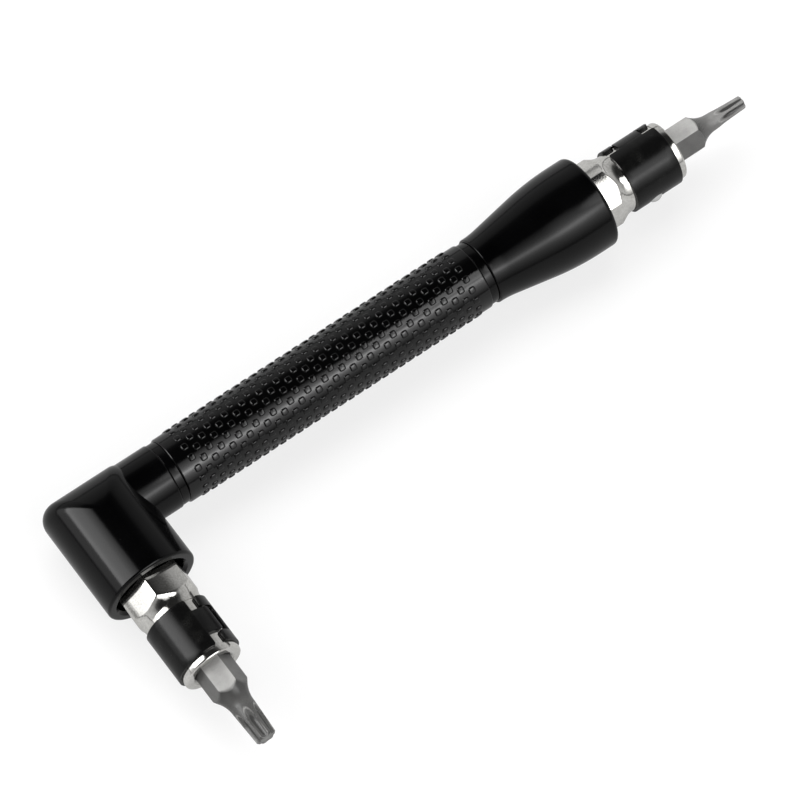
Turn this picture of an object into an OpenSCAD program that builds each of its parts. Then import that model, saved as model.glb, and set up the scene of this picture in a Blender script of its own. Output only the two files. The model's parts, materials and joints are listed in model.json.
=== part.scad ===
// Offset screwdriver: an L-shaped hand driver with a hex bit holder at each end.
// The handle lies along X with its straight end towards +X, and the short arm points to -Y.
// The tool lies on a table at z = 0, with the middle of its box over the origin.

/* [Elbow] */
// Diameter of the elbow's barrel
barrel_d = 18; // [17.4:0.1:21]
// Distance from the handle's axis to the rim of the arm
arm_reach = 16.1; // [15:0.1:21]
// Radius of the two back corners of the elbow
corner_r = 2.8; // [1.5:0.1:4]
// Diameter of the neck between the elbow and the grip
neck_d = 12.6; // [11.5:0.1:14]
// Distance from the arm's axis to the end of the neck
neck_reach = 13.5; // [12.5:0.1:20]

/* [Grip] */
// Diameter of the grip sleeve
grip_d = 12.8; // [11.5:0.1:15]
// Length of the grip sleeve
grip_len = 65.1; // [50:0.1:90]
// Width of each spacer ring
ring_w = 1.6; // [1:0.05:2.5]
// Diameter of the spacer rings
ring_d = 12.2; // [11:0.1:13.5]
// Diameter of the steel core rod
rod_d = 6; // [5:0.1:7]
// Depth to which the rod is pressed into the elbow and into the nose
rod_seat = 7; // [5:0.1:8]

/* [Nose] */
// Diameter of the nose where it leaves the spacer ring
nose_small_d = 13; // [12:0.1:14.5]
// Diameter of the straight front of the nose
nose_d = 18; // [17.4:0.1:21]
// Length of the nose
nose_len = 24.4; // [22.5:0.1:32]
// Length of the straight collar behind the flare
nose_collar = 1.9; // [1.5:0.1:4]
// Length of the straight front of the nose
nose_front = 8.3; // [6:0.1:10]

/* [Holder] */
// Width across the flats of the hexagonal root
root_af = 12; // [11.7:0.1:12.8]
// Length of the hexagonal root, to the start of the turned neck
root_len = 6.9; // [6.5:0.1:9]
// Length of the root that shows in front of the nose
straight_show = 3; // [2.5:0.1:5]
// Length of the root that shows in front of the arm's rim
angled_show = 4.1; // [3:0.1:5.5]
// Length of the turned neck, from the root to the spring band
neck_len = 3.25; // [2:0.05:5]
// Wall between the flats of the socket and the seat of the spring band
holder_wall = 2.38; // [2.2:0.01:2.6]
// Width of the lip in front of the spring band
lip_w = 1.4; // [1:0.1:2.5]
// Diameter of the shank that is pressed into the handle
shank_d = 9; // [7:0.1:10]
// Length of the shank
shank_len = 8; // [6:0.1:8.5]

/* [Spring band] */
// Length of the band along the holder
band_len = 9.9; // [9:0.1:12]
// Thickness of the band's sheet
band_t = 0.6; // [0.4:0.05:0.9]
// Width of the tongue that interlocks at the seam
tongue_w = 5; // [4:0.1:6]
// Diameter of the steel ball
ball_d = 3.5; // [3.3:0.05:3.7]
// Distance of the ball behind the mouth of the socket
ball_back = 6.9; // [5:0.1:7.5]
// Outward travel of the ball against the band
ball_travel = 0.12; // [0.05:0.01:0.2]

/* [Bits] */
// Width across the flats of the bits
bit_af = 6.35; // [6.1:0.05:6.6]
// Length of a bit
bit_len = 25; // [24:0.5:30]
// Depth to which the bit sits in the straight socket
straight_bit_in = 8.4; // [8.2:0.1:10]
// Depth to which the bit sits in the angled socket
angled_bit_in = 9.2; // [8.2:0.1:10]
// Length of a bit in front of its hexagon
bit_nose_len = 11; // [10:0.1:13]
// Point diameter of the six-lobe tip at the straight end
straight_tip_d = 2.74; // [2.4:0.02:3.2]
// Point diameter of the six-lobe tip at the angled end
angled_tip_d = 3.86; // [3.3:0.02:4.4]

/* [Turning angles] */
// Turn of the straight holder about the handle's axis
straight_turn = -70; // [-180:1:180]
// Turn of the angled holder about the arm's axis
angled_turn = 140; // [-180:1:180]
// Angle from the ball to a flat of the holder's root
root_turn = 34; // [0:1:59]
// Angle from the ball to the seam of the straight band
straight_seam = -140; // [-150:1:-120]
// Angle from the ball to the seam of the angled band
angled_seam = -146; // [-150:1:-120]

/* [Hidden] */
$fn = 96;

// Clearances and overruns
cut = 1;
seat_clear = 0.03;
end_clear = 0.3;
socket_clear = 0.05;
band_clear = 0.03;
ball_clear = 0.03;
ball_gap = 0.02;
hole_clear = 0.01;

// Small edges
seam_chamfer = 0.25;
rim_chamfer = 0.45;
mouth_bevel = 0.55;
nose_round = 0.9;
lip_chamfer = 0.4;
root_corner_turn = 0.12;
back_proud = 0.08;
lip_step = 0.12;
shank_chamfer = 0.6;

// Rounding of the nose: radii of the blends at the small and large end of the flare
flare_in_r = 12;
flare_out_r = 40;

// Elbow and handle
barrel_r = barrel_d / 2;
neck_r = neck_d / 2;
elbow_back = neck_r + back_proud;
mitre_y = elbow_back - barrel_r;
rear_ring_x = neck_reach;
grip_x = rear_ring_x + ring_w;
front_ring_x = grip_x + grip_len;
nose_x = front_ring_x + ring_w;
nose_end_x = nose_x + nose_len;
rod_bore_d = rod_d + 2 * seat_clear;
rod_x = neck_reach - rod_seat;
rod_len = 2 * rod_seat + 2 * ring_w + grip_len;

// Holder, measured along its own axis from the back of the hexagonal root
half_angle = 30;
root_corner_r = root_af / 2 / cos(half_angle);
seat_r = root_corner_r + seat_clear;
straight_seat = root_len - straight_show;
angled_seat = root_len - angled_show;
socket_af = bit_af + 2 * socket_clear;
sleeve_r = socket_af / 2 + holder_wall;
lip_r = sleeve_r + lip_step;
band_in_r = sleeve_r + band_clear;
band_out_r = band_in_r + band_t;
neck_flat_share = 0.2;
neck_arc_len = neck_len * (1 - neck_flat_share);
band_z = root_len + neck_len;
lip_z = band_z + band_len + 2 * band_clear;
mouth_z = lip_z + lip_w;
socket_relief = 0.8;
mouth_flare = 0.5;

// Ball in its radial hole, resting on a flat of the bit
ball_r = ball_d / 2;
ball_z = mouth_z - ball_back;
ball_at_r = bit_af / 2 + ball_gap + ball_r;
ball_lip_share = 0.85;
ball_lip_r = ball_r * ball_lip_share;
ball_sink = 0.4;
ball_seat_r = ball_at_r - ball_sink - sqrt(ball_r * ball_r - ball_lip_r * ball_lip_r);
ball_drop = band_in_r - ball_at_r - ball_travel;
band_hole_r = sqrt(ball_r * ball_r - ball_drop * ball_drop) + hole_clear;

// Seam of the spring band: angles from the edge of the sheet's body to its other edges
tongue_edge = -34;
recess_edge = -54;
tab_edge = -22;
seam_overlap = 6;
sheet_round = 0.45;
tongue_gap = 0.25;

// Bits, measured from their tail
bit_corner_r = bit_af / 2 / cos(half_angle);
bit_hex_len = bit_len - bit_nose_len;
tail_chamfer = 0.7;
tail_inset = 0.5;
waist_grow = 0.3;
waist_len_share = 0.36;
flute_len_share = 0.56;
flute_r_share = 0.22;
core_r_share = 0.36;
tip_chamfer_share = 0.08;
lobes = 6;

// Box of the whole tool about the crossing of its two axes, and the shift to the origin
nose_r = nose_d / 2;
straight_seat_x = nose_end_x - straight_seat;
angled_seat_y = angled_seat - arm_reach;
x_low = -barrel_r;
x_high = straight_seat_x + mouth_z - straight_bit_in + bit_len;
y_low = angled_seat_y - mouth_z + angled_bit_in - bit_len;
y_high = max(elbow_back, nose_r);
z_low = -max(barrel_r, nose_r);
to_origin = [-(x_low + x_high) / 2, -(y_low + y_high) / 2, -z_low];

// Finishes
handle_black = "#18181a";
ring_black = "#232326";
chrome = "#c9c9c6";
band_black = "#2b2b2c";
ball_steel = "#dcdcda";
bit_grey = "#8d8d89";
rod_steel = "#9c9c99";

// Points of an arc in the plane
function arc(centre, r, from, to, steps) =
    [for (i = [0:steps]) let (a = from + (to - from) * i / steps) centre + r * [cos(a), sin(a)]];

// Outline of a rectangle with round corners, about its middle
function round_rect(w, h, r, steps = 6) = concat(
    arc([w / 2 - r, h / 2 - r], r, 0, 90, steps),
    arc([r - w / 2, h / 2 - r], r, 90, 180, steps),
    arc([r - w / 2, r - h / 2], r, 180, 270, steps),
    arc([w / 2 - r, r - h / 2], r, 270, 360, steps));

// Blend of radius r at the corner between a run along the axis and a slope, in (radius, axis) points
function blend(corner_rad, corner_ax, slope, r, side, steps = 6) =
    let (reach = r * tan(slope / 2))
    [for (i = [0:steps])
        let (a = slope * (side > 0 ? i : steps - i) / steps,
             along = side * (r * sin(a) - reach),
             rise = side * r * (1 - cos(a)))
        [corner_rad + rise, corner_ax + along]];

// Radius of a concave arc that drops by h over a length and ends along the axis
function sweep_r(len, h) = (len * len + h * h) / (2 * h);

// Points of that arc, from its wide end at (wide, start) to its narrow end
function waist(wide, narrow, start, len, steps = 10) =
    let (h = wide - narrow, r = sweep_r(len, h))
    [for (i = [0:steps])
        let (z = len * i / steps)
        [narrow + r - sqrt(r * r - (len - z) * (len - z)), start + z]];

// Hexagonal prism with a flat whose normal is at the given angle
module hex_prism(af, height, flat_at) {
    rotate([0, 0, flat_at + half_angle])
        cylinder(r = af / 2 / cos(half_angle), h = height, $fn = 6);
}

// Places a shape whose axis is Z along the handle, starting at x
module along_handle(x) {
    translate(to_origin + [x, 0, 0])
        rotate([0, 90, 0])
            children();
}

// Places a holder's own frame, with the ball towards +X and the mouth towards +Z
module at_straight_end() {
    translate(to_origin + [straight_seat_x, 0, 0])
        rotate([straight_turn, 0, 0])
            rotate([0, 90, 0])
                children();
}

module at_angled_end() {
    translate(to_origin + [0, angled_seat_y, 0])
        rotate([0, angled_turn, 0])
            rotate([90, 0, 0])
                children();
}

// Solid of revolution about Z, with a chamfer at each end
module chamfered_rod(r, height, chamfer) {
    rotate_extrude()
        polygon([[0, 0], [r - chamfer, 0], [r, chamfer], [r, height - chamfer],
                 [r - chamfer, height], [0, height]]);
}

// Ring on the core rod, with its outer edges chamfered
module chamfered_sleeve(r, height, bore_r, chamfer) {
    rotate_extrude()
        polygon([[bore_r, 0], [r - chamfer, 0], [r, chamfer], [r, height - chamfer],
                 [r - chamfer, height], [bore_r, height]]);
}

// One level of the elbow's skin: a half-width w, straight sides and two round back corners
skin_levels = 44;
skin_reach = 87;
corner_steps = 7;
function skin_slice(w) =
    let (r = corner_r * w / barrel_r, back = mitre_y + w)
    concat([[w, -arm_reach]],
           arc([w - r, back - r], r, 0, 90, corner_steps),
           arc([r - w, back - r], r, 90, 180, corner_steps),
           [[-w, -arm_reach]]);

// Outer skin of the elbow: the barrel's round section, mitred at the back by an equal round section
module elbow_skin() {
    angles = [for (i = [0:skin_levels]) skin_reach * (2 * i / skin_levels - 1)];
    slices = [for (a = angles) skin_slice(barrel_r * cos(a))];
    count = len(slices[0]);
    points = [for (i = [0:skin_levels]) for (p = slices[i])
                 [p[0], p[1], barrel_r * sin(angles[i]) / sin(skin_reach)]];
    sides = [for (i = [0:skin_levels - 1]) for (j = [0:count - 1])
                let (k = (j + 1) % count)
                [i * count + j, (i + 1) * count + j, (i + 1) * count + k, i * count + k]];
    bottom = [for (j = [0:count - 1]) j];
    top = [for (j = [count - 1:-1:0]) skin_levels * count + j];
    polyhedron(points = points, faces = concat(sides, [bottom, top]));
}

// Recess for a holder, cut backwards from a rim at z = 0: bevel, hexagon seat and shank bore
module holder_recess(seat_depth) {
    translate([0, 0, -seat_depth])
        cylinder(r = seat_r, h = seat_depth + cut);
    translate([0, 0, -mouth_bevel])
        cylinder(r1 = seat_r, r2 = seat_r + mouth_bevel + cut, h = mouth_bevel + cut);
    translate([0, 0, -seat_depth - shank_len - end_clear])
        cylinder(d = shank_d + 2 * seat_clear, h = shank_len + end_clear + cut);
}

module elbow() {
    color(handle_black)
        difference() {
            union() {
                translate(to_origin)
                    elbow_skin();
                along_handle(0)
                    chamfered_rod(neck_r, neck_reach, seam_chamfer);
            }
            along_handle(rod_x - end_clear)
                cylinder(d = rod_bore_d, h = rod_seat + end_clear + cut);
            translate(to_origin + [0, -arm_reach, 0])
                rotate([90, 0, 0]) {
                    holder_recess(angled_seat);
                    rotate_extrude()
                        polygon([[barrel_r - rim_chamfer, 0], [barrel_r + cut, -rim_chamfer - cut],
                                 [barrel_r + cut, cut], [barrel_r - rim_chamfer, cut]]);
                }
        }
}

module spacer_ring(x) {
    color(ring_black)
        along_handle(x)
            chamfered_sleeve(ring_d / 2, ring_w, rod_bore_d / 2, seam_chamfer / 2);
}

module rear_ring() { spacer_ring(rear_ring_x); }

module front_ring() { spacer_ring(front_ring_x); }

module grip() {
    color(handle_black)
        along_handle(grip_x)
            chamfered_sleeve(grip_d / 2, grip_len, rod_bore_d / 2, seam_chamfer);
}

// Flared nose: a collar, a straight flare with soft blends, and a straight front with a round rim
module nose() {
    small_r = nose_small_d / 2;
    flare_end = nose_len - nose_front;
    slope = atan2(nose_r - small_r, flare_end - nose_collar);
    profile = concat(
        [[0, 0], [small_r - seam_chamfer, 0], [small_r, seam_chamfer]],
        blend(small_r, nose_collar, slope, flare_in_r, 1),
        blend(nose_r, flare_end, slope, flare_out_r, -1),
        arc([nose_r - nose_round, nose_len - nose_round], nose_round, 0, 90, 6),
        [[0, nose_len]]);
    color(handle_black)
        difference() {
            along_handle(nose_x)
                rotate_extrude()
                    polygon(profile);
            along_handle(nose_x - cut)
                cylinder(d = rod_bore_d, h = rod_seat + end_clear + cut);
            along_handle(nose_end_x)
                holder_recess(straight_seat);
        }
}

module core_rod() {
    color(rod_steel)
        along_handle(rod_x)
            chamfered_rod(rod_d / 2, rod_len, shank_chamfer);
}

// Turned and milled bit holder in its own frame
module holder_body(bit_in) {
    shank_r = shank_d / 2;
    socket_z = mouth_z - bit_in - socket_clear;
    turned_r = root_corner_r - root_corner_turn;
    profile = concat(
        [[0, -shank_len], [shank_r - shank_chamfer, -shank_len], [shank_r, shank_chamfer - shank_len],
         [shank_r, 0], [turned_r, 0]],
        waist(turned_r, lip_r, root_len, neck_arc_len),
        [[lip_r, band_z], [sleeve_r, band_z], [sleeve_r, lip_z], [lip_r, lip_z],
         [lip_r, mouth_z - lip_chamfer], [lip_r - lip_chamfer, mouth_z], [0, mouth_z]]);
    socket_r = socket_af / 2 / cos(half_angle);
    difference() {
        intersection() {
            rotate_extrude()
                polygon(profile);
            translate([0, 0, -shank_len - cut])
                hex_prism(root_af, shank_len + mouth_z + 2 * cut, root_turn);
        }
        translate([0, 0, socket_z])
            hex_prism(socket_af, mouth_z - socket_z + cut, 0);
        translate([0, 0, socket_z - socket_relief])
            cylinder(d = socket_af - 2 * socket_relief, h = socket_relief + cut);
        translate([0, 0, mouth_z - mouth_flare])
            cylinder(r1 = socket_af / 2, r2 = socket_r + mouth_flare, h = mouth_flare + socket_clear);
        translate([0, 0, ball_z])
            rotate([0, 90, 0]) {
                cylinder(r = ball_lip_r, h = lip_r + cut);
                translate([0, 0, ball_seat_r])
                    cylinder(r = ball_r + ball_clear, h = lip_r + cut);
            }
    }
}

module straight_holder() {
    color(chrome)
        at_straight_end()
            holder_body(straight_bit_in);
}

module angled_holder() {
    color(chrome)
        at_angled_end()
            holder_body(angled_bit_in);
}

// Wedge of a disc between two angles, wide enough to cut the band through
module wedge(from, to, height) {
    reach = 2 * band_out_r;
    linear_extrude(height = height)
        polygon(concat([[0, 0]], arc([0, 0], reach, from, to, 4)));
}

// Sheet tab with round corners, cut from the band's own curve between two angles and two heights
module sheet_tab(from, to, low, high) {
    middle = (from + to) / 2;
    width = 2 * band_out_r * sin(abs(to - from) / 2);
    translate([0, 0, (low + high) / 2])
        rotate([0, 0, middle])
            rotate([0, 90, 0])
                linear_extrude(height = 2 * band_out_r)
                    polygon(round_rect(high - low, width, sheet_round));
}

// Spring band in the holder's frame: a rolled sheet whose ends interlock, with a hole for the ball
module band_sheet(seam) {
    notch = (band_len - tongue_w) / 2;
    low = band_z + band_clear;
    high = low + band_len;
    recess = seam + recess_edge;
    difference() {
        translate([0, 0, low])
            cylinder(r = band_out_r, h = band_len);
        translate([0, 0, low - cut])
            cylinder(r = band_in_r, h = band_len + 2 * cut);
        difference() {
            translate([0, 0, low - cut])
                wedge(recess, seam, band_len + 2 * cut);
            sheet_tab(seam + tongue_edge, seam + seam_overlap, low + notch, high - notch);
            sheet_tab(recess - seam_overlap, seam + tab_edge, low, low + notch - tongue_gap);
            sheet_tab(recess - seam_overlap, seam + tab_edge, high - notch + tongue_gap, high);
        }
        translate([0, 0, ball_z])
            rotate([0, 90, 0])
                cylinder(r = band_hole_r, h = 2 * band_out_r);
    }
}

module straight_band() {
    color(band_black)
        at_straight_end()
            band_sheet(straight_seam);
}

module angled_band() {
    color(band_black)
        at_angled_end()
            band_sheet(angled_seam);
}

// Steel ball in the holder's frame
module detent_ball() {
    translate([ball_at_r, 0, ball_z])
        sphere(r = ball_r);
}

module straight_ball() {
    color(ball_steel)
        at_straight_end()
            detent_ball();
}

module angled_ball() {
    color(ball_steel)
        at_angled_end()
            detent_ball();
}

// Six-lobe bit in the holder's frame: hexagon, waist, tapered shaft and fluted tip
module lobe_bit(tip_d, bit_in) {
    tip_r = tip_d / 2;
    shaft_r = tip_r + waist_grow;
    waist_len = bit_nose_len * waist_len_share;
    flute_len = bit_nose_len * flute_len_share;
    flute_r = tip_d * flute_r_share;
    flute_at_r = tip_d * core_r_share + flute_r;
    tip_chamfer = tip_d * tip_chamfer_share;
    profile = concat(
        [[0, 0], [bit_corner_r - tail_inset, 0], [bit_corner_r + waist_grow, tail_chamfer + tail_inset]],
        waist(bit_corner_r + waist_grow, shaft_r, bit_hex_len - waist_grow, waist_len + waist_grow),
        [[tip_r, bit_len - tip_chamfer], [tip_r - tip_chamfer, bit_len], [0, bit_len]]);
    translate([0, 0, mouth_z - bit_in])
        difference() {
            intersection() {
                rotate_extrude()
                    polygon(profile);
                translate([0, 0, -cut])
                    hex_prism(bit_af, bit_len + 2 * cut, 0);
            }
            for (i = [0:lobes - 1])
                rotate([0, 0, 360 * i / lobes])
                    translate([flute_at_r, 0, bit_len - flute_len]) {
                        cylinder(r = flute_r, h = flute_len + cut, $fn = 32);
                        sphere(r = flute_r, $fn = 32);
                    }
        }
}

module straight_bit() {
    color(bit_grey)
        at_straight_end()
            lobe_bit(straight_tip_d, straight_bit_in);
}

module angled_bit() {
    color(bit_grey)
        at_angled_end()
            lobe_bit(angled_tip_d, angled_bit_in);
}

elbow();
rear_ring();
grip();
front_ring();
nose();
core_rod();
straight_holder();
straight_band();
straight_ball();
straight_bit();
angled_holder();
angled_band();
angled_ball();
angled_bit();
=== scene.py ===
"""Looks of an L-shaped offset screwdriver with a black handle and two plated bit holders.

Lengths are in metres. Each limb has a frame of its own, whose Z axis runs along the limb and outwards.
"""

import json
import math

import bmesh
import bpy
from mathutils import Matrix, Vector


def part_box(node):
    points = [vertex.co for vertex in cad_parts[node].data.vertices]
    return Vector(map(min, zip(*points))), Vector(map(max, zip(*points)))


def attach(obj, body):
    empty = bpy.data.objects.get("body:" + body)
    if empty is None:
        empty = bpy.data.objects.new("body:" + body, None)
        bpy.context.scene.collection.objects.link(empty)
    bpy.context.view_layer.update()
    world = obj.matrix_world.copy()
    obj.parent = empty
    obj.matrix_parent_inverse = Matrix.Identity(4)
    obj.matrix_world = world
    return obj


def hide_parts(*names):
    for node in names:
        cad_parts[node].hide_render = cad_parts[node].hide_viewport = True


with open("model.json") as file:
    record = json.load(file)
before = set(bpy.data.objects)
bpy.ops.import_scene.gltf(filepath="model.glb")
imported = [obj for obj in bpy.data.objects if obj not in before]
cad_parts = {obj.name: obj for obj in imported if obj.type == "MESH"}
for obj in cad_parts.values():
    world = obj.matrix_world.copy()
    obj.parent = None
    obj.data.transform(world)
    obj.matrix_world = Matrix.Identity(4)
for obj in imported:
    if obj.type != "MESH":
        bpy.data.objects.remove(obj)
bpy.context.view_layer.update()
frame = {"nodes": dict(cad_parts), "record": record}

MM = 0.001
FULL_TURN = 2 * math.pi

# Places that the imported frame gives
mounts = {m["name"]: Vector(m["pos_m"]) for m in frame["record"]["mounts"]}
straight_mouth = mounts["straight_socket"]
angled_mouth = mounts["angled_socket"]
crossing = Vector((angled_mouth.x, straight_mouth.y, straight_mouth.z))
elbow_low, elbow_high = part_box("elbow")
grip_low, grip_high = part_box("grip")
nose_low, nose_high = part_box("nose")

# Elbow
barrel_r = (elbow_high.z - elbow_low.z) / 2
arm_reach = crossing.y - elbow_low.y
elbow_back = elbow_high.y - crossing.y
neck_reach = elbow_high.x - crossing.x
neck_r = 6.3 * MM
corner_r = 2.8 * MM
rim_round = 0.5 * MM
mouth_bevel = 0.55 * MM

# Grip and its pips
grip_r = (grip_high.z - grip_low.z) / 2
rod_bore_r = 3.03 * MM
seam_round = 0.28 * MM
spacer_round = seam_round / 2
pip_pitch = 3.68 * MM
pip_lines = 36
pips_a_line = 17
pip_size = 1.36 * MM
pip_height = 0.22 * MM
pip_sink = 0.12 * MM
pip_turn = math.radians(70)
pip_sides = 16
pip_squareness = 4.5
pip_rings = ((1, -pip_sink), (0.99, 0), (0.79, 0.85 * pip_height), (0.62, pip_height))

# Nose
nose_small_r = 6.5 * MM
nose_r = (nose_high.z - nose_low.z) / 2
nose_collar = 1.9 * MM
nose_front = 8.3 * MM
nose_round = 0.9 * MM
flare_blend = 4.8 * MM
collar_blend_share = 0.8
seat_edge = 0.1 * MM

# Bit holders, measured along their axis from the back of the hexagonal root
root_af = 12 * MM
root_len = 6.9 * MM
root_turned_r = 6.81 * MM
root_edge = 0.14 * MM
root_crown = 0.24 * MM
crown_rise_share = 0.4
root_row_shares = (0.5, 0.92)
root_turn = math.radians(34)
seat_r = 6.96 * MM
shank_r = 4.5 * MM
shank_len = 8 * MM
shank_chamfer = 0.6 * MM
neck_arc_len = 2.6 * MM
neck_len = 3.25 * MM
sleeve_r = 5.605 * MM
lip_r = 5.725 * MM
lip_w = 1.4 * MM
lip_edge = 0.09 * MM
lip_round = 0.42 * MM
socket_af = 6.45 * MM
socket_edge = 0.1 * MM
mouth_flare = 0.5 * MM
flare_r = 4.22 * MM

# Spring bands
band_len = 9.9 * MM
band_clear = 0.03 * MM
band_in_r = sleeve_r + band_clear
band_t = 0.6 * MM
band_edge = 0.09 * MM
band_step = math.radians(3)
band_weld = 1e-7
tongue_w = 5 * MM
tongue_gap = 0.25 * MM
sheet_round = 0.45 * MM
tongue_edge = math.radians(-34)
recess_edge = math.radians(306)
tab_edge = math.radians(338)

# Detent balls, measured back from the mouth
ball_r = 1.75 * MM
ball_back = 6.9 * MM
ball_hole_r = 1.78 * MM
band_hole_r = 1.667 * MM

# Six-lobe bits, measured from their tail
bit_af = 6.35 * MM
bit_nose_len = 11 * MM
bit_edge = 0.1 * MM
tail_chamfer = 0.7 * MM
tail_inset = 0.5 * MM
waist_grow = 0.3 * MM
waist_len_share = 0.36
flute_len_share = 0.56
flute_r_share = 0.22
core_r_share = 0.36
tip_chamfer_share = 0.08
flute_edge = 0.06 * MM
flute_run_out = 3 * MM
worn_edge = 0.13 * MM
lobes = 6
hex_rows_share = 0.12
waist_rows_share = 0.92
waist_rows_len = 5.6 * MM
tip_crowd = 1.6
# Share of painted shade on a bit's flats that face away from up
side_painted_shade = 0.74

# Angles in degrees past which an edge stays sharp
plain_sharp = 40
pip_sharp = 75
holder_sharp = 32
band_sharp = 50
bit_sharp = 50

# Holder heights that follow from those lengths
band_z = root_len + neck_len
lip_z = band_z + band_len + 2 * band_clear
mouth_z = lip_z + lip_w
ball_z = mouth_z - ball_back
straight_seat = nose_high.x - (straight_mouth.x - mouth_z)
angled_seat = angled_mouth.y + mouth_z - elbow_low.y


# Frames of the limbs
def limb(origin, along, across):
    """Frame at a place, with Z along the limb and X as near as can be to a direction across it."""
    z = along.normalized()
    x = (across - across.project(z)).normalized()
    place = Matrix((x, z.cross(x), z)).transposed().to_4x4()
    place.translation = origin
    return place


def holder_frame(mouth, along, ball_node):
    """Frame of a bit holder, from the back of its root, with X towards its ball."""
    low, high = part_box(ball_node)
    return limb(mouth - along * mouth_z, along, (low + high) / 2 - mouth)


ALONG_HANDLE = Vector((1, 0, 0))
ALONG_ARM = Vector((0, -1, 0))
handle = limb(crossing, ALONG_HANDLE, ALONG_ARM)
arm = limb(crossing, ALONG_ARM, ALONG_HANDLE)
straight_end = holder_frame(straight_mouth, ALONG_HANDLE, "straight_ball")
angled_end = holder_frame(angled_mouth, ALONG_ARM, "angled_ball")


# Shapes
def softmin(first, second, edge):
    """The lesser of two lengths, with the edge where they cross rounded over."""
    near = max(edge - abs(first - second), 0) / edge
    return min(first, second) - near * near * edge / 4


def hex_radius(across_flats, angle, flat_at, edge, crown=0):
    """Distance from a hexagon's axis to its side, with soft corners and flats that may be crowned."""
    sector = FULL_TURN / 6
    turn = (angle - flat_at) % sector

    def side(off):
        middle_out = (math.tan(off) / math.tan(sector / 2)) ** 2
        return (across_flats / 2 + crown * (crown_rise_share - middle_out)) / math.cos(off)

    return softmin(side(turn), side(turn - sector), edge)


def corner_angles(flat_at, steps=20, crowd=0.82):
    """Angles round a hexagon, closest together at its corners."""
    shares = [i / steps for i in range(steps)]
    crowded = [s + crowd * math.sin(FULL_TURN * s) / FULL_TURN for s in shares]
    return [(flat_at + (k + s) * FULL_TURN / 6) % FULL_TURN for k in range(6) for s in crowded]


def even_angles(steps):
    """Angles round a full turn, evenly apart."""
    return [FULL_TURN * i / steps for i in range(steps)]


def quarter_angles(steps):
    """Angles from 0 to a quarter turn, evenly apart."""
    return [math.pi / 2 * i / steps for i in range(steps + 1)]


def polar(r, angle, z):
    """Point at a distance from the axis, an angle round it and a height."""
    return (r * math.cos(angle), r * math.sin(angle), z)


def spread(start, end, steps, crowd=1):
    """Heights from a start to just short of an end, which may crowd towards the end."""
    return [start + (end - start) * (1 - (1 - i / steps) ** crowd) for i in range(steps)]


def rounded(corners, steps=5):
    """Profile through (radius, height, rounding) corners, each rounded by a curve of that reach."""
    points = []
    for i, (r, z, reach) in enumerate(corners):
        corner = Vector((r, z))
        if not reach:
            points.append(corner)
            continue
        before = Vector(corners[i - 1][:2])
        after = Vector(corners[(i + 1) % len(corners)][:2])
        start = corner + (before - corner).normalized() * reach
        end = corner + (after - corner).normalized() * reach
        for k in range(steps + 1):
            t = k / steps
            points.append(start * (1 - t) ** 2 + corner * 2 * t * (1 - t) + end * t ** 2)
    return [(p.x, p.y) for p in points]


def waist_radius(z, wide, narrow, start, length):
    """Radius along a concave arc that narrows over a length and ends along the axis."""
    drop = wide - narrow
    arc_r = (length * length + drop * drop) / (2 * drop)
    left = min(max(start + length - z, 0), length)
    return narrow + arc_r - math.sqrt(arc_r * arc_r - left * left)


def add_object(name, data):
    """New object in the scene."""
    made = bpy.data.objects.new(name, data)
    bpy.context.scene.collection.objects.link(made)
    return made


def piece_of(name, bm, sharp=plain_sharp):
    """Object at the origin with a bmesh's faces, smooth but for edges past an angle in degrees."""
    mesh = bpy.data.meshes.new(name)
    bm.to_mesh(mesh)
    bm.free()
    mesh.shade_smooth()
    mesh.set_sharp_from_angle(angle=math.radians(sharp))
    return add_object(name, mesh)


def loft(name, rings, place, ends=True, sharp=plain_sharp):
    """Closed skin through rings of points, with its ends fanned shut or joined to each other."""
    count = len(rings[0])
    bm = bmesh.new()
    rows = [[bm.verts.new(place @ Vector(p)) for p in ring] for ring in rings]
    pairs = list(zip(rows, rows[1:]))
    if not ends:
        pairs.append((rows[-1], rows[0]))
    for lower, upper in pairs:
        for j in range(count):
            k = (j + 1) % count
            bm.faces.new((lower[j], lower[k], upper[k], upper[j]))
    for row in (rows[0], rows[-1]) if ends else ():
        middle = bm.verts.new(sum((v.co for v in row), Vector()) / count)
        for j in range(count):
            bm.faces.new((row[j], row[(j + 1) % count], middle))
    bmesh.ops.recalc_face_normals(bm, faces=bm.faces)
    return piece_of(name, bm, sharp)


def turned(name, profile, place, ends=True, steps=160):
    """Solid of revolution about Z through (radius, height) points."""
    angles = even_angles(steps)
    rings = [[polar(r, a, z) for a in angles] for r, z in profile]
    return loft(name, rings, place, ends)


def carved(piece, operation, tools, sharp=plain_sharp):
    """Piece after tools are joined to it or cut from it."""
    for tool in tools:
        cut = piece.modifiers.new("carve", "BOOLEAN")
        cut.operation = operation
        cut.solver = "EXACT"
        cut.object = tool
    settle(piece, sharp)
    for tool in tools:
        bpy.data.meshes.remove(tool.data)
    return piece


def settle(piece, sharp=plain_sharp):
    """Replaces a piece's mesh by what its modifiers make of it."""
    graph = bpy.context.evaluated_depsgraph_get()
    mesh = bpy.data.meshes.new_from_object(piece.evaluated_get(graph))
    piece.modifiers.clear()
    old = piece.data
    piece.data = mesh
    bpy.data.meshes.remove(old)
    mesh.shade_smooth()
    mesh.set_sharp_from_angle(angle=math.radians(sharp))
    return piece


def set_painted_shade(piece, shares):
    """Stores the share of painted shade at each point of a piece."""
    stored = piece.data.attributes.new("dark_share", "FLOAT", "POINT")
    stored.data.foreach_set("value", shares)


# Black limbs
def handle_span(node):
    """Heights in the handle's frame at which a node starts and ends."""
    low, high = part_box(node)
    return low.x - crossing.x, high.x - crossing.x


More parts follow.
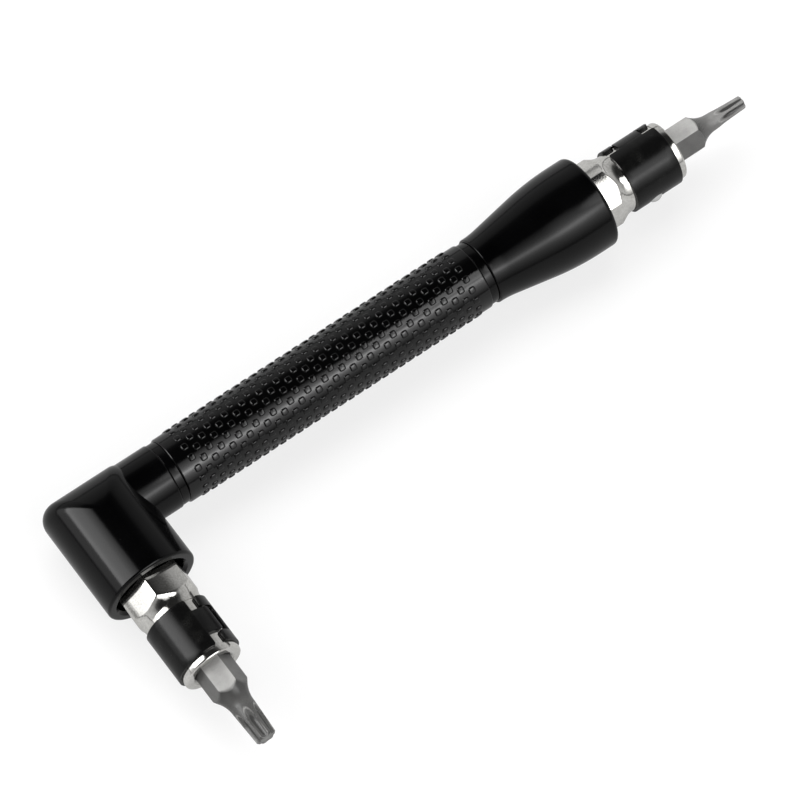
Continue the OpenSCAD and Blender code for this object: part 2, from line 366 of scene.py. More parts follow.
def recess_profile(rim_z, depth):
    """Tool that cuts a holder's seat and shank bore back from a rim."""
    floor = rim_z - depth
    over = mouth_bevel
    return [(shank_r, floor - shank_len), (shank_r, floor), (seat_r, floor),
            (seat_r, rim_z - mouth_bevel), (seat_r + mouth_bevel + over, rim_z + over)]


def elbow_slice(w, steps=14):
    """Level section of the elbow at a half-width: straight sides and two round back corners."""
    r = corner_r * w / barrel_r
    back = elbow_back - barrel_r + w
    right = [(w - r + r * math.cos(a), back - r + r * math.sin(a)) for a in quarter_angles(steps)]
    left = [(-x, y) for x, y in reversed(right)]
    return [(w, -arm_reach), *right, *left, (-w, -arm_reach)]


def make_elbow():
    """Barrel mitred at the back by an equal round section, with the neck, the seat and a round rim."""
    levels = 120
    reach = math.radians(88.5)
    rings = []
    for i in range(levels + 1):
        a = reach * (2 * i / levels - 1)
        z = barrel_r * math.sin(a) / math.sin(reach)
        rings.append([(x, y, z) for x, y in elbow_slice(barrel_r * math.cos(a))])
    body = loft("elbow_casting", rings, Matrix.Translation(crossing))
    neck = turned("neck", rounded([
        (neck_r / 2, 0, 0), (neck_r, 0, 0), (neck_r, neck_reach, seam_round),
        (neck_r / 2, neck_reach, 0)]), handle)
    carved(body, "UNION", [neck])
    over = rim_round
    rim_cut = [(barrel_r + over, arm_reach + over), (barrel_r + over, arm_reach - rim_round)]
    rim_cut += [(barrel_r - rim_round * (1 - math.cos(a)), arm_reach - rim_round * (1 - math.sin(a)))
                for a in quarter_angles(steps=6)]
    rim_cut += [(barrel_r - rim_round, arm_reach + over)]
    rim = turned("rim", rim_cut, arm, ends=False)
    seat = turned("seat", recess_profile(arm_reach, angled_seat), arm)
    bore = turned("bore", [(rod_bore_r, neck_reach / 2), (rod_bore_r, neck_reach + over)], handle)
    return carved(body, "DIFFERENCE", [rim, seat, bore])


def make_sleeve(name, node, edge):
    """Grip's sleeve or a thin spacer ring, on the core rod."""
    low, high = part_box(node)
    r = (high.z - low.z) / 2
    start, end = handle_span(node)
    profile = rounded([(rod_bore_r, start, 0), (r, start, edge), (r, end, edge), (rod_bore_r, end, 0)])
    return turned(name, profile, handle, ends=False)


def make_nose():
    """Flared bell with a collar, soft blends, a straight front and the seat for the holder."""
    start, end = handle_span("nose")
    seat = recess_profile(end, straight_seat)
    profile = rounded([
        (shank_r / 2, start, 0), (nose_small_r, start, seam_round),
        (nose_small_r, start + nose_collar, nose_collar * collar_blend_share),
        (nose_r, end - nose_front, flare_blend), (nose_r, end, nose_round),
        (seat_r + mouth_bevel, end, seat_edge)], steps=8)
    return turned("nose_bell", profile + seat[-2::-1], handle)


# Pips
def set_input(modifier, name, value):
    """Sets an input of a modifier's node group, by the identifier that goes with its name."""
    for item in modifier.node_group.interface.items_tree:
        if item.item_type == "SOCKET" and item.in_out == "INPUT" and item.name == name:
            modifier[item.identifier] = value


def make_pip():
    """One pip: a low block with round corners and sloping sides, its foot sunk in the sleeve."""
    power = pip_squareness

    def ring(share, z):
        points = []
        for a in even_angles(pip_sides):
            inset = (abs(math.cos(a)) ** power + abs(math.sin(a)) ** power) ** (1 / power)
            points.append(polar(pip_size / 2 * share / inset, a, z))
        return points

    return loft("pip", [ring(share, z) for share, z in pip_rings], Matrix.Identity(4), sharp=pip_sharp)


def pip_tree(finish):
    """Node tree that sets pips on a sleeve in lines, every second line half a pitch on."""
    tree = bpy.data.node_groups.new("rolled_pips", "GeometryNodeTree")
    inputs = (("Pip", "NodeSocketObject"), ("Radius", "NodeSocketFloat"), ("Start", "NodeSocketFloat"),
              ("Pitch", "NodeSocketFloat"), ("Lines", "NodeSocketInt"), ("Pips a line", "NodeSocketInt"),
              ("Turn", "NodeSocketFloat"))
    for name, kind in inputs:
        tree.interface.new_socket(name, in_out="INPUT", socket_type=kind)
    tree.interface.new_socket("Geometry", in_out="OUTPUT", socket_type="NodeSocketGeometry")
    nodes = Nodes(tree)
    given = {name: nodes.node("NodeGroupInput", output=name) for name, kind in inputs}
    index = nodes.node("GeometryNodeInputIndex")
    line = (index / given["Pips a line"]).floor()
    step = index - line * given["Pips a line"]
    odd = line.modulo(2)
    along = given["Start"] + given["Pitch"] * (step + odd / 2)
    angle = given["Turn"] + line * FULL_TURN / given["Lines"]
    place = nodes.node("ShaderNodeCombineXYZ", inputs={
        "X": given["Radius"] * angle.cosine(), "Y": given["Radius"] * angle.sine(), "Z": along})
    points = nodes.node("GeometryNodePoints", inputs={
        "Count": given["Lines"] * given["Pips a line"], "Position": place})
    spin = nodes.node("ShaderNodeCombineXYZ", inputs={"Y": math.pi / 2, "Z": angle})
    turn = nodes.node("FunctionNodeEulerToRotation", inputs={"Euler": spin})
    pip = nodes.node("GeometryNodeObjectInfo", inputs={"Object": given["Pip"]}, output="Geometry")
    before_last = given["Pips a line"] - 1.5
    kept = 1 - odd * step.above(before_last)
    pips = nodes.node("GeometryNodeInstanceOnPoints", inputs={
        "Points": points, "Selection": kept, "Instance": pip, "Rotation": turn})
    whole = nodes.node("GeometryNodeRealizeInstances", inputs={"Geometry": pips})
    painted = nodes.node("GeometryNodeSetMaterial", inputs={"Geometry": whole, "Material": finish})
    nodes.node("NodeGroupOutput", inputs={"Geometry": painted}, output=None)
    return tree


def make_pips(finish):
    """All the grip's pips as one mesh."""
    start, end = handle_span("grip")
    first = (start + end - (pips_a_line - 1) * pip_pitch) / 2
    pip = make_pip()
    pips = add_object("grip_pips", bpy.data.meshes.new("grip_pips"))
    rolled = pips.modifiers.new("rolled_pips", "NODES")
    rolled.node_group = pip_tree(finish)
    values = (("Pip", pip), ("Radius", grip_r), ("Start", first), ("Pitch", pip_pitch),
              ("Lines", pip_lines), ("Pips a line", pips_a_line), ("Turn", pip_turn))
    for name, value in values:
        set_input(rolled, name, value)
    settle(pips, sharp=pip_sharp)
    pips.data.transform(handle)
    bpy.data.meshes.remove(pip.data)
    return pips


# Holders, bands, balls and bits
def holder_ring(angles, z, turned_r):
    """Ring of the holder's outside where its hexagon meets a turned radius."""
    ring = []
    for a in angles:
        r = softmin(hex_radius(root_af, a, root_turn, root_edge, root_crown), turned_r, root_edge)
        ring.append(polar(r, a, z))
    return ring


def make_holder(name, place, bit_tail_z):
    """Plated holder: shank, hexagonal root, turned neck, sleeve, lip and hexagonal socket, with painted
    shade stored inside the socket's mouth.
    """
    angles = sorted(set(corner_angles(root_turn) + corner_angles(0)))

    def circle(r, z):
        return [polar(r, a, z) for a in angles]

    rings = [circle(r, z) for r, z in (
        (shank_r - shank_chamfer, -shank_len), (shank_r, shank_chamfer - shank_len), (shank_r, 0))]
    rings.append(holder_ring(angles, 0, root_turned_r - root_edge))
    rings += [holder_ring(angles, z, root_turned_r) for z in (
        root_edge, *(root_len * share for share in root_row_shares))]
    steps = 44
    for i in range(steps + 1):
        z = root_len + neck_arc_len * i / steps
        turned_r = waist_radius(z, root_turned_r, lip_r, root_len, neck_arc_len)
        rings.append(holder_ring(angles, z, turned_r))
    rings += [circle(r, z) for r, z in rounded([
        (lip_r, band_z, 0), (sleeve_r, band_z, 0), (sleeve_r, lip_z, 0), (lip_r, lip_z, lip_edge),
        (lip_r, mouth_z, lip_round), (flare_r, mouth_z, lip_edge)])]
    flare_slope = (flare_r - socket_af / 2) / mouth_flare
    cone, wall = [], []
    for a in angles:
        r = hex_radius(socket_af, a, 0, socket_edge)
        z = mouth_z - (flare_r - r) / flare_slope
        cone.append(polar(r, a, z))
        wall.append(polar(r, a, bit_tail_z))
    rings += [cone, wall]
    holder = loft(name, rings, place, sharp=holder_sharp)
    through = place @ Matrix.Translation((0, 0, ball_z)) @ Matrix.Rotation(math.pi / 2, 4, "Y")
    hole = turned("hole", [(ball_hole_r, socket_af / 4), (ball_hole_r, 2 * lip_r)], through, steps=64)
    carved(holder, "DIFFERENCE", [hole], sharp=holder_sharp)
    to_holder = place.inverted()
    points = [to_holder @ v.co for v in holder.data.vertices]
    # Painted shade on the socket's mouth and wall, where the mouth's shadow falls
    set_painted_shade(holder, [float(p.z > 0 and p.xy.length < flare_r - lip_edge) for p in points])
    return holder


def sheet_outline(seam):
    """Flat outline of a band with its seam at an angle, as (length round, height, rounding) corners."""
    low = band_z + band_clear
    high = low + band_len
    notch = (band_len - tongue_w) / 2
    turns = (0, tongue_edge, recess_edge, tab_edge)
    body, tongue, recess, tab = ((seam + turn) * band_in_r for turn in turns)
    small = sheet_round / 2
    tab_low = low + notch - tongue_gap
    tab_high = high - notch + tongue_gap
    return [
        (body, low, sheet_round), (tab, low, sheet_round), (tab, tab_low, sheet_round),
        (recess, tab_low, small), (recess, tab_high, small), (tab, tab_high, sheet_round),
        (tab, high, sheet_round), (body, high, sheet_round), (body, high - notch, small),
        (tongue, high - notch, sheet_round), (tongue, low + notch, sheet_round),
        (body, low + notch, small)]


def make_band(name, place, seam):
    """Spring band: a flat sheet with interlocking ends and a ball hole, rolled round the sleeve."""
    outline = rounded(sheet_outline(seam))
    hole = [(band_hole_r * math.cos(a), ball_z + band_hole_r * math.sin(a))
            for a in even_angles(steps=48)]
    bm = bmesh.new()
    for loop in (outline, hole):
        corners = [bm.verts.new((u, v, 0)) for u, v in loop]
        for i, corner in enumerate(corners):
            bm.edges.new((corners[i - 1], corner))
    bmesh.ops.triangle_fill(bm, use_beauty=True, use_dissolve=False, edges=bm.edges)
    step = band_step * band_in_r
    first, last = (math.ceil((seam + edge) / band_step) for edge in (tongue_edge, tab_edge))
    for i in range(first, last):
        bmesh.ops.bisect_plane(bm, geom=[*bm.verts, *bm.edges, *bm.faces], dist=band_weld,
                               plane_co=(i * step, 0, 0), plane_no=(1, 0, 0))
    for v in bm.verts:
        a = v.co.x / band_in_r
        v.co = place @ Vector(polar(band_in_r, a, v.co.y))
    bmesh.ops.recalc_face_normals(bm, faces=bm.faces)
    axis = place.translation
    along = place.col[2].xyz
    face = max(bm.faces, key=lambda f: f.calc_area())
    middle = face.calc_center_median() - axis
    if face.normal.dot(middle - middle.project(along)) < 0:
        bmesh.ops.reverse_faces(bm, faces=bm.faces)
    band = piece_of(name, bm)
    wall = band.modifiers.new("thickness", "SOLIDIFY")
    wall.thickness = band_t
    wall.offset = 1
    soft = band.modifiers.new("edges", "BEVEL")
    soft.width = band_edge
    soft.segments = 3
    soft.limit_method = "ANGLE"
    soft.angle_limit = math.radians(band_sharp)
    return settle(band, sharp=band_sharp)


def make_ball(name, node):
    """Detent ball."""
    low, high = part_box(node)
    middle = Matrix.Translation((low + high) / 2)
    bm = bmesh.new()
    bmesh.ops.create_icosphere(bm, subdivisions=4, radius=ball_r, matrix=middle)
    return piece_of(name, bm)


def bit_blank(z, angle, length, tip_r):
    """Radius of a bit at a height from its tail and an angle, before its flutes are cut."""
    corner = bit_af / 2 / math.cos(FULL_TURN / 12)
    wide = corner + waist_grow
    shaft = tip_r + waist_grow
    hex_end = length - bit_nose_len - waist_grow
    waist_len = bit_nose_len * waist_len_share + waist_grow
    chamfer = 2 * tip_r * tip_chamfer_share
    straight_from = hex_end + waist_len
    tip_from = length - chamfer
    if z < hex_end:
        r = min(corner - tail_inset + z * (tail_inset + waist_grow) / (tail_chamfer + tail_inset), wide)
    elif z < straight_from:
        r = waist_radius(z, wide, shaft, hex_end, waist_len)
    else:
        r = shaft + (tip_r - shaft) * min((z - straight_from) / (tip_from - straight_from), 1)
        r -= max(z - tip_from, 0)
    return softmin(hex_radius(bit_af, angle, 0, bit_edge), r, bit_edge)


def flute_wall(z, angle, length, tip_r):
    """Radius of a flute's wall at an angle, running out towards the waist, or infinity beside it."""
    flute_r = 2 * tip_r * flute_r_share
    core_r = 2 * tip_r * core_r_share
    full_from = length - bit_nose_len * flute_len_share + flute_run_out
    back = max(full_from - z, 0) / flute_run_out
    flute_at = core_r + flute_r + (tip_r + waist_grow - core_r) * back * back
    turn = (angle + FULL_TURN / 12) % (FULL_TURN / lobes) - FULL_TURN / 12
    side = flute_at * math.sin(turn)
    if abs(side) > flute_r:
        return math.inf
    return flute_at * math.cos(turn) - math.sqrt(flute_r * flute_r - side * side)


def make_bit(name, place, tail_z, tip_z, tip_r, shaft_painted_shade):
    """Six-lobe bit: hexagon, waist, shaft and fluted tip, with its share of painted shade at each point.
    """
    length = tip_z - tail_z
    upwards = place.to_3x3().transposed() @ Vector((0, 0, 1))
    upward_flat = round(math.atan2(upwards.y, upwards.x) * 6 / FULL_TURN) * FULL_TURN / 6
    waist = length - bit_nose_len
    waist_len = bit_nose_len * waist_len_share
    flute_depth = tip_r * (1 - 2 * core_r_share)
    waist_rows = waist * waist_rows_share
    tip_rows = waist_rows + waist_rows_len
    heights = spread(0, 2 * tail_chamfer, steps=12)
    heights += spread(waist * hex_rows_share, waist_rows, steps=6)
    heights += spread(waist_rows, tip_rows, steps=80)
    heights += [*spread(tip_rows, length, steps=40, crowd=tip_crowd), length]
    angles = corner_angles(0, steps=28, crowd=0.5)
    rings, painted_shade = [], []
    for z in heights:
        ring = []
        for a in angles:
            blank = bit_blank(z, a, length, tip_r)
            wall = flute_wall(z, a, length, tip_r)
            r = softmin(blank, wall, flute_edge)
            ring.append(polar(r, a, tail_z + z))
            under_flat = min((hex_radius(bit_af, a, 0, bit_edge) - blank) / waist_grow, 1)
            in_flute = min((blank - r) / flute_depth, 1) ** 2
            # Painted shade: flats turned away from up, the flutes, the waist and the shaft are darker;
            # worn flute edges stay light
            on_flat = side_painted_shade if math.cos(a - upward_flat) < math.cos(FULL_TURN / 12) else 0
            on_shaft = 1 - (1 - shaft_painted_shade) * min(max(z - waist, 0) / waist_len, 1)
            worn = max(1 - abs(blank - wall) / worn_edge, 0)
            painted_shade.append(max(in_flute, on_flat + (on_shaft - on_flat) * under_flat) * (1 - worn))
        rings.append(ring)
    bit = loft(name, rings, place, sharp=bit_sharp)
    end_middles = (0, 0)
    set_painted_shade(bit, [*painted_shade, *end_middles])
    return bit


# Node trees
def empty_tree(owner):
    """Node tree of a material or world, without the nodes that it starts with."""
    owner.use_nodes = True
    owner.node_tree.nodes.clear()
    return owner.node_tree


class Value:
    """One output of a node, with sums on it written as plain arithmetic."""

    def __init__(self, nodes, socket):
        self.nodes = nodes
        self.socket = socket

    def calculate(self, operation, *terms):
        """Adds a Math node."""
        return self.nodes.node("ShaderNodeMath", {"operation": operation}, dict(enumerate(terms)))

    def __add__(self, other):
        return self.calculate("ADD", self, other)

    def __radd__(self, other):
        return self.calculate("ADD", other, self)

    def __sub__(self, other):
        return self.calculate("SUBTRACT", self, other)

    def __rsub__(self, other):
        return self.calculate("SUBTRACT", other, self)

    def __mul__(self, other):
        return self.calculate("MULTIPLY", self, other)

    def __rmul__(self, other):
        return self.calculate("MULTIPLY", other, self)

    def __truediv__(self, other):
        return self.calculate("DIVIDE", self, other)

    def __rtruediv__(self, other):
        return self.calculate("DIVIDE", other, self)

    def modulo(self, other):
        return self.calculate("MODULO", self, other)

    def root(self):
        return self.calculate("SQRT", self)

    def floor(self):
        return self.calculate("FLOOR", self)

    def sine(self):
        return self.calculate("SINE", self)

    def cosine(self):
        return self.calculate("COSINE", self)

    def above(self, other):
        return self.calculate("GREATER_THAN", self, other)


class Nodes:
    """A node tree that is built one node at a time."""

    def __init__(self, tree):
        self.tree = tree

    def node(self, kind, settings=None, inputs=None, output=0):
        """Adds a node, sets it up, feeds its inputs and gives one of its outputs."""
        made = self.tree.nodes.new(kind)
        for name, value in (settings or {}).items():
            if name == "stops":
                self.set_stops(made.color_ramp, value)
            else:
                setattr(made, name, value)
        for name, value in (inputs or {}).items():
            self.feed(made.inputs[name], value)
        return None if output is None else Value(self, made.outputs[output])

    def feed(self, socket, value):
        """Links an output to a socket, or sets the socket to a plain value."""
        if isinstance(value, Value):
            self.tree.links.new(value.socket, socket)
        else:
            socket.default_value = value

    def set_stops(self, ramp, stops):
        """Gives a ramp its (place, level) stops."""
        while len(ramp.elements) < len(stops):
            ramp.elements.new(1)
        for element, (at, level) in zip(ramp.elements, stops):
            element.position = at
            element.color = (level, level, level, 1)

    def steep(self, value, low, high):
        """Value spread out so that low becomes 0 and high becomes 1."""
        return self.node("ShaderNodeMapRange", inputs={
            "Value": value, "From Min": low, "From Max": high})

    def mix(self, factor, first, second):
        """Colour between two colours, each a tuple or an output."""
        first, second = ((*c, 1) if isinstance(c, tuple) else c for c in (first, second))
        colour_a, colour_b, colour_out = 6, 7, 2
        return self.node("ShaderNodeMix", {"data_type": "RGBA"}, {
            "Factor": factor, colour_a: first, colour_b: second}, output=colour_out)


class Finish(Nodes):
    """A material made of nodes round one shader."""

    def __init__(self, name, fixed):
        self.material = bpy.data.materials.new(name)
        super().__init__(empty_tree(self.material))
        self.shader = self.tree.nodes.new("ShaderNodeBsdfPrincipled")
        for socket, value in fixed.items():
            self.shader.inputs[socket].default_value = value
        surface = Value(self, self.shader.outputs[0])
        self.node("ShaderNodeOutputMaterial", inputs={"Surface": surface}, output=None)
        self.place = self.node("ShaderNodeTexCoord", output="Object")

    def vary(self, **sockets):
        """Feeds what changes over the surface."""
        names = {"colour": "Base Color", "roughness": "Roughness", "normal": "Normal"}
        for name, value in sockets.items():
            self.feed(self.shader.inputs[names[name]], value)

    def cloud(self, size, detail=3.0, place=None):
        """Noise from 0 to 1 whose patches are about a size across."""
        return self.node("ShaderNodeTexNoise", inputs={
            "Vector": place or self.place, "Scale": 1 / size, "Detail": detail})

    def specks(self, cell, share):
        """Mask of small round specks, one in each cell of a size, that fill a share of its width."""
        away = self.node("ShaderNodeTexVoronoi", inputs={"Vector": self.place, "Scale": 1 / cell})
        return 1 - away.above(share)

    def bump(self, height, depth):
        """Normal of a surface whose height from 0 to 1 stands for a depth."""
        return self.node("ShaderNodeBump", inputs={"Height": height, "Strength": 1.0, "Distance": depth})

    def dark_share(self):
        """Share of painted shade that is stored on the piece."""
        return self.node("ShaderNodeAttribute", {"attribute_name": "dark_share"}, output="Fac")


# Colours of the finishes
black_low, black_high = (0.0004, 0.0004, 0.0005), (0.001, 0.001, 0.0011)
dust_grey = (0.06, 0.06, 0.063)
plate_dull, plate_bright = (0.66, 0.65, 0.62), (0.88, 0.87, 0.84)
pit_brown = (0.25, 0.22, 0.18)
# Painted shade for the inside of the sockets
socket_painted_shade = (0.03, 0.03, 0.029)
oxide_black, oxide_worn = (0.003, 0.003, 0.003), (0.009, 0.009, 0.0085)
bit_low, bit_high = (0.29, 0.287, 0.28), (0.42, 0.416, 0.406)
# Painted shade for the bits
bit_painted_shade = (0.015, 0.015, 0.0145)
ball_low, ball_high = (0.74, 0.74, 0.73), (0.86, 0.86, 0.85)
rod_low, rod_high = (0.40, 0.40, 0.39), (0.58, 0.58, 0.57)


def make_gloss_black(name, shine, haze, peel_depth):
    """Gloss black anodising: deep black with a faint cloudiness, orange peel and a little dust."""
    finish = Finish(name, {"Specular IOR Level": shine, "Metallic": 0.0})
    cloud = finish.cloud(size=7 * MM)
    peel = finish.cloud(size=0.35 * MM)
    dusty = finish.steep(finish.cloud(size=9 * MM), low=0.5, high=0.62)
    dust = finish.specks(cell=2.1 * MM, share=0.02) * dusty
    tint = finish.mix(finish.steep(cloud, low=0.35, high=0.65), black_low, black_high)
    finish.vary(colour=finish.mix(dust, tint, dust_grey),
                roughness=haze + 0.05 * cloud + 0.25 * dust,
                normal=finish.bump(peel, peel_depth))
    return finish.material


def make_plate(name, along):
    """Bright plating with faint lathe rings, mottling and small pits, with painted shade inside the
    socket.
    """
    finish = Finish(name, {"Metallic": 1.0})
    cloud = finish.cloud(size=3.2 * MM, detail=4)
    fine = finish.cloud(size=0.35 * MM)
    rings = finish.node("ShaderNodeTexWave", {"bands_direction": along}, {
        "Vector": finish.place, "Scale": 1 / (9 * MM), "Distortion": 0.8, "Detail": 2.0})
    pits = finish.specks(cell=0.9 * MM, share=0.05)
    mottle = finish.steep(cloud * 0.5 + fine * 0.5, low=0.38, high=0.62)
    plated = finish.mix(pits * 0.5, finish.mix(mottle, plate_dull, plate_bright), pit_brown)
    painted_shade = finish.dark_share()
    # Painted shade darkens the plating inside the socket
    finish.vary(colour=finish.mix(painted_shade, plated, socket_painted_shade),
                roughness=0.07 + 0.12 * cloud * fine + 0.2 * pits + 0.2 * painted_shade,
                normal=finish.bump(fine * 0.6 + rings * 0.15 - pits * 0.4, depth=0.006 * MM))
    return finish.material


def make_spring_black():
    """Satin black oxide on rolled spring sheet, worn a little grey."""
    finish = Finish("spring_black_oxide", {"Metallic": 0.0, "Specular IOR Level": 0.25})
    cloud = finish.cloud(size=2.4 * MM, detail=4)
    fine = finish.cloud(size=0.22 * MM)
    worn = finish.steep(cloud * 0.7 + fine * 0.3, low=0.5, high=0.72)
    finish.vary(colour=finish.mix(worn, oxide_black, oxide_worn),
                roughness=0.17 + 0.10 * fine + 0.06 * worn,
                normal=finish.bump(fine, depth=0.006 * MM))
    return finish.material


def make_bit_steel():
    """Matt grey tool steel with fine grain, and painted shade on the flats that face away from up, the
    flutes, the waist and the shaft.
    """
    finish = Finish("bit_steel_blasted", {"Metallic": 0.0, "Specular IOR Level": 0.5})
    cloud = finish.cloud(size=2.2 * MM, detail=4)
    grain = finish.cloud(size=0.13 * MM)
    painted_shade = finish.dark_share()
    mottle = finish.steep(cloud * 0.6 + grain * 0.4, low=0.35, high=0.65)
    # Painted shade darkens the steel where the stored share is high
    finish.vary(colour=finish.mix(painted_shade * 0.92, finish.mix(mottle, bit_low, bit_high), bit_painted_shade),
                roughness=0.45 + 0.14 * grain - 0.3 * painted_shade,
                normal=finish.bump(grain, depth=0.014 * MM))
    return finish.material


def make_ball_steel():
    """Polished bearing steel with the faintest haze."""
    finish = Finish("ball_steel_polished", {"Metallic": 1.0})
    haze = finish.cloud(size=0.6 * MM)
    finish.vary(colour=finish.mix(haze, ball_low, ball_high), roughness=0.05 + 0.08 * haze)
    return finish.material


def make_rod_steel():
    """Drawn steel with lines along the rod."""
    finish = Finish("rod_steel_drawn", {"Metallic": 1.0})
    stretched = finish.node("ShaderNodeMapping", inputs={"Vector": finish.place, "Scale": (0.04, 1, 1)})
    lines = finish.cloud(size=0.25 * MM, place=stretched)
    finish.vary(colour=finish.mix(lines, rod_low, rod_high), roughness=0.25 + 0.2 * lines)
    return finish.material


# The tool's pieces
gloss_black = make_gloss_black("gloss_black_anodised", shine=0.23, haze=0.11, peel_depth=0.004 * MM)
sleeve_black = make_gloss_black("sleeve_black_anodised", shine=0.44, haze=0.04, peel_depth=0.008 * MM)
spring_black = make_spring_black()
bit_steel = make_bit_steel()
ball_steel = make_ball_steel()


def fit(piece, material, body, node=None):
    """Gives a piece its finish and body, and hides the CAD node that it stands for."""
    piece.data.materials.clear()
    piece.data.materials.append(material)
    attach(piece, body)
    if node:
        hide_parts(node)


fit(make_elbow(), gloss_black, "tool", "elbow")
rear_spacer = make_sleeve("rear_spacer", "rear_ring", spacer_round)
fit(rear_spacer, gloss_black, "tool", "rear_ring")
grip_sleeve = make_sleeve("grip_sleeve", "grip", seam_round)
fit(grip_sleeve, sleeve_black, "tool", "grip")
fit(make_pips(sleeve_black), sleeve_black, "tool")
front_spacer = make_sleeve("front_spacer", "front_ring", spacer_round)
fit(front_spacer, gloss_black, "tool", "front_ring")
fit(make_nose(), gloss_black, "tool", "nose")

# Each end's name, frame, lathe axis, seam's angle, bit's tip radius and share of painted shade on the
# bit's shaft
ends = (
    ("straight", straight_end, "X", math.radians(-140), 1.37 * MM, 0.45),
    ("angled", angled_end, "Y", math.radians(-146), 1.93 * MM, 0.85),
)
for end, place, lathe_axis, seam, tip_r, shaft_painted_shade in ends:
    plate = make_plate(end + "_bright_plate", lathe_axis)
    to_holder = place.inverted()
    tail_z, tip_z = sorted((to_holder @ corner).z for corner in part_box(end + "_bit"))
    holder = make_holder(end + "_socket_body", place, tail_z)
    fit(holder, plate, "tool", end + "_holder")
    band = make_band(end + "_spring_band", place, seam)
    fit(band, spring_black, "tool", end + "_band")
    ball = make_ball(end + "_detent_ball", end + "_ball")
    fit(ball, ball_steel, end + "_ball", end + "_ball")
    bit = make_bit(end + "_lobe_bit", place, tail_z, tip_z, tip_r, shaft_painted_shade)
    fit(bit, bit_steel, end + "_bit", end + "_bit")

rod = frame["nodes"]["core_rod"]
rod.data.materials.clear()
rod.data.materials.append(make_rod_steel())


# Studio
def aim_from(target, azimuth, elevation, distance):
    """Place and turn of a lamp or camera that looks at a target from a direction in degrees."""
    a, e = math.radians(azimuth), math.radians(elevation)
    back = Vector((math.sin(a) * math.cos(e), -math.cos(a) * math.cos(e), math.sin(e)))
    right = Vector((math.cos(a), math.sin(a), 0))
    place = Matrix((right, back.cross(right), back)).transposed().to_4x4()
    place.translation = target + back * distance
    return place


# Light by elevation in degrees and radiance: room, front soft box and left soft box
room_light = ((0, 0.2), (3, 0.2), (6, 0.55), (15, 0.5), (30, 0.42), (38, 0.32), (45, 0.08), (58, 0.02),
              (90, 0.02))
front_light = ((0, 0.16), (3, 0.27), (5, 0.4), (11.5, 0.7), (19, 1.2), (27, 1.9), (34, 3.3), (38, 5.5),
               (42, 7.6), (45, 5.5), (50, 3.1), (57, 1.9), (66, 1.2), (72, 0.75), (75.5, 0.45),
               (77.5, 0.05), (90, 0.04))
left_light = ((0, 0.3), (3, 0.3), (6, 1.5), (23, 1.65), (24.5, 7.6), (28, 7.6), (36, 5.7), (50, 4.8),
              (56, 3.4), (62, 2.2), (66, 1.6), (68, 0.24), (72, 0.05), (90, 0.04))

# Radiance that the full level of a ramp stands for
brightest = 8

# Soft boxes by azimuth, half width and softness of their edges, in degrees
front_box = (13, 18, 13)
left_box = (-128, 20, 4)

# Small lamp by direction, radiance, and the angles in degrees at which it ends and is full
spot_from = (0.45, -0.378, 0.809)
spot_light = 2.5
spot_ends, spot_full = 13, 10

# Table, white to the camera and grey to other rays
table_r = 3.0
table_white = (0.93, 0.93, 0.93)
table_grey = (0.3, 0.3, 0.3)
table_glow_share = 0.72
table_mirrored_share = 0.5


def add_fill(azimuth, elevation, distance, size, watts):
    """Wide soft lamp that shows in no reflection."""
    lamp = bpy.data.lights.new("soft_fill", "AREA")
    lamp.shape = "DISK"
    lamp.size = size
    lamp.energy = watts
    fill = add_object("soft_fill", lamp)
    fill.matrix_world = aim_from(crossing, azimuth, elevation, distance)
    fill.visible_glossy = False
    fill.visible_camera = False


def white_table():
    """Matt table that is seen white, in part as it is lit and for the rest by a glow of its own."""
    material = bpy.data.materials.new("white_table")
    nodes = Nodes(empty_tree(material))
    rays = ("Is Camera Ray", "Is Glossy Ray", "Is Transmission Ray")
    camera_ray, glossy_ray, clear_ray = (nodes.node("ShaderNodeLightPath", output=ray) for ray in rays)
    seen = camera_ray + table_mirrored_share * (glossy_ray + clear_ray)
    tint = nodes.mix(camera_ray, table_grey, table_white)
    matt = nodes.node("ShaderNodeBsdfDiffuse", inputs={"Color": tint})
    glow = nodes.node("ShaderNodeEmission", inputs={"Color": (1, 1, 1, 1), "Strength": 1.0})
    shown = nodes.node("ShaderNodeMixShader", inputs={0: seen * table_glow_share, 1: matt, 2: glow})
    nodes.node("ShaderNodeOutputMaterial", inputs={"Surface": shown}, output=None)
    return material


def make_table():
    """Plain round table under the tool."""
    bm = bmesh.new()
    bmesh.ops.create_circle(bm, cap_ends=True, radius=table_r, segments=96)
    table = piece_of("table", bm)
    table.data.materials.append(white_table())


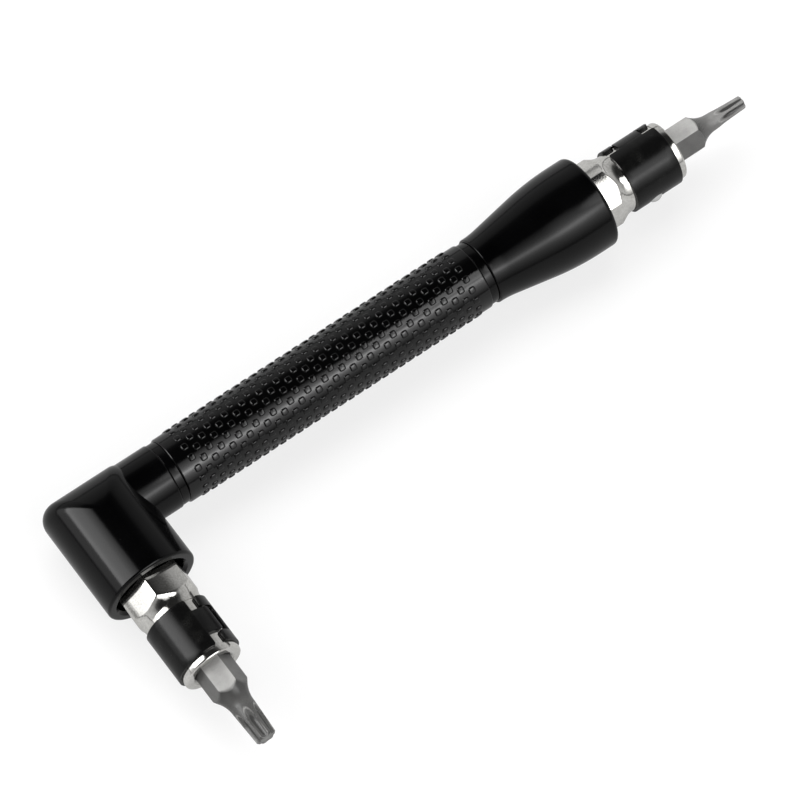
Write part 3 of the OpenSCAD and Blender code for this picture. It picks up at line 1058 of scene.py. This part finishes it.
def make_room():
    """Studio with a dim room, a soft box in front, one at the left and a small lamp at the right."""
    world = bpy.data.worlds.new("studio")
    nodes = Nodes(empty_tree(world))
    direction = nodes.node("ShaderNodeTexCoord", output="Generated")
    height = nodes.node("ShaderNodeSeparateXYZ", inputs={"Vector": direction}, output="Z")
    flat = (1 - height * height).root()

    def cosine(degrees):
        return math.cos(math.radians(degrees))

    def by_elevation(levels):
        """Radiance of a column of light at a direction's elevation."""
        stops = [(math.sin(math.radians(e)), level / brightest) for e, level in levels]
        return nodes.node("ShaderNodeValToRGB", {"stops": stops}, {"Fac": height}) * brightest

    def along(axis):
        """Length of a direction along an axis."""
        return nodes.node("ShaderNodeVectorMath", {"operation": "DOT_PRODUCT"}, {
            0: direction, 1: axis}, output="Value")

    def towards(azimuth, half_width, soft):
        """Share, from 0 to 1, of a soft box at a direction's azimuth."""
        a = math.radians(azimuth)
        ahead = along((math.sin(a), -math.cos(a), 0)) / flat
        return nodes.steep(ahead, low=cosine(half_width + soft), high=cosine(half_width - soft))

    front = towards(*front_box)
    left = towards(*left_box)
    level = by_elevation(room_light) * (1 - front) * (1 - left)
    level = level + by_elevation(front_light) * front + by_elevation(left_light) * left
    spot = along(Vector(spot_from).normalized())
    level = level + spot_light * nodes.steep(spot, low=cosine(spot_ends), high=cosine(spot_full))
    light = nodes.node("ShaderNodeBackground", inputs={"Color": (1, 1, 1, 1), "Strength": level})
    nodes.node("ShaderNodeOutputWorld", inputs={"Surface": light}, output=None)
    bpy.context.scene.world = world


make_table()
make_room()
add_fill(azimuth=155, elevation=62, distance=1.5, size=1.4, watts=13)

# Camera at the photograph's place
view_azimuth = -35.714
view_elevation = 65.063
view_distance = 0.907
view_lens = 232.06
view_sensor = 36.0
view_near = 0.05
view_aim = crossing + Vector((55.6 * MM, -12.17 * MM, 0))
camera = add_object("camera", bpy.data.cameras.new("camera"))
camera.data.lens = view_lens
camera.data.sensor_width = view_sensor
camera.data.clip_start = view_near
camera.matrix_world = aim_from(view_aim, view_azimuth, view_elevation, view_distance)
bpy.context.scene.camera = camera
bpy.context.scene.view_settings.view_transform = "Standard"
